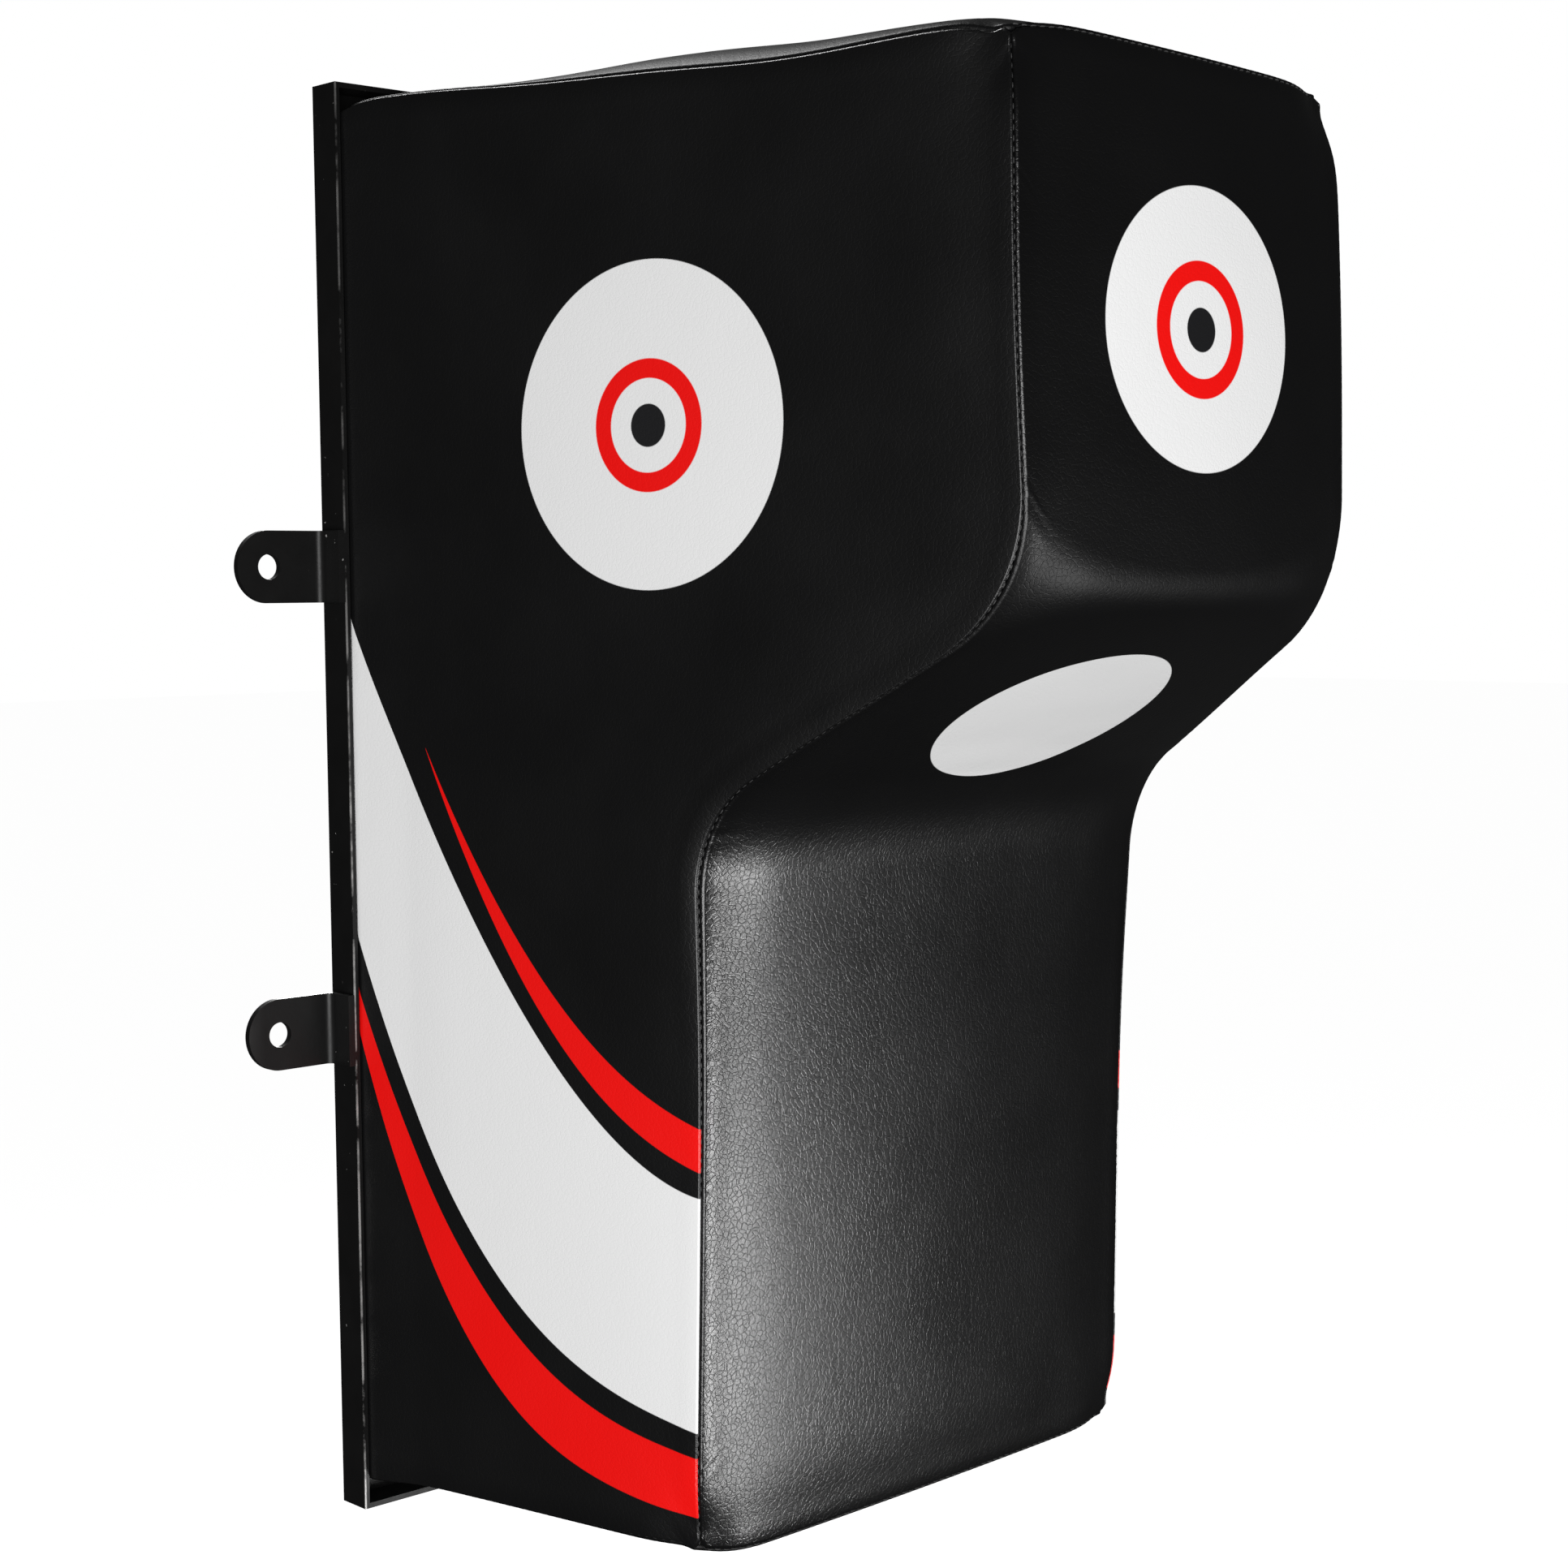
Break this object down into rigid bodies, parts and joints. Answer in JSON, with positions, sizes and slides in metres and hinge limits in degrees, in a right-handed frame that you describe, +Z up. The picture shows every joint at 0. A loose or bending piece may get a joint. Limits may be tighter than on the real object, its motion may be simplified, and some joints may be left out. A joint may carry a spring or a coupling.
{
  "type": "wall-mounted punch pad",
  "caption": "Overhanging leather-covered foam punch pad on a plywood board, held in a wall-mounted angle-iron frame with bolt lugs.",
  "frame": {"origin": "middle of the four bolt holes, on the wall plane", "axes": "+X to the right of a person facing the pad, +Z up, the pad stands out from the wall along -Y"},
  "size_m": [0.565, 0.4466, 0.8],
  "materials": {
    "frame_paint": "satin black enamel, worn to bare steel along the front edge",
    "plywood": "unfinished",
    "plated_steel": "zinc plated",
    "firm_foam": "firm bonded foam",
    "soft_foam": "soft foam",
    "front_leather": "satin, fine grain",
    "side_leather": "satin, fine grain",
    "print_white": "printed, satin",
    "print_red": "printed, satin",
    "print_black": "printed, satin",
    "black_thread": "bonded thread"
  },
  "bodies": {
    "root": {"left_frame_bar": "frame_paint", "right_frame_bar": "frame_paint", "top_frame_bar": "frame_paint", "bottom_frame_bar": "frame_paint", "upper_left_lug": "frame_paint", "lower_left_lug": "frame_paint", "upper_right_lug": "frame_paint", "lower_right_lug": "frame_paint", "backboard": "plywood", "board_screws": "plated_steel", "base_foam": "firm_foam", "lower_core_foam": "firm_foam", "head_core_foam": "firm_foam", "lower_front_foam": "soft_foam", "slope_foam": "soft_foam", "upper_front_foam": "soft_foam", "left_lower_side_foam": "soft_foam", "left_head_side_foam": "soft_foam", "right_lower_side_foam": "soft_foam", "right_head_side_foam": "soft_foam", "top_foam": "soft_foam", "bottom_foam": "soft_foam", "front_panel": "front_leather", "left_side_panel": "side_leather", "right_side_panel": "side_leather", "top_panel": "side_leather", "bottom_panel": "side_leather", "left_hem": "side_leather", "right_hem": "side_leather", "top_hem": "side_leather", "bottom_hem": "side_leather", "staples": "plated_steel"}
  },
  "joints": []
}
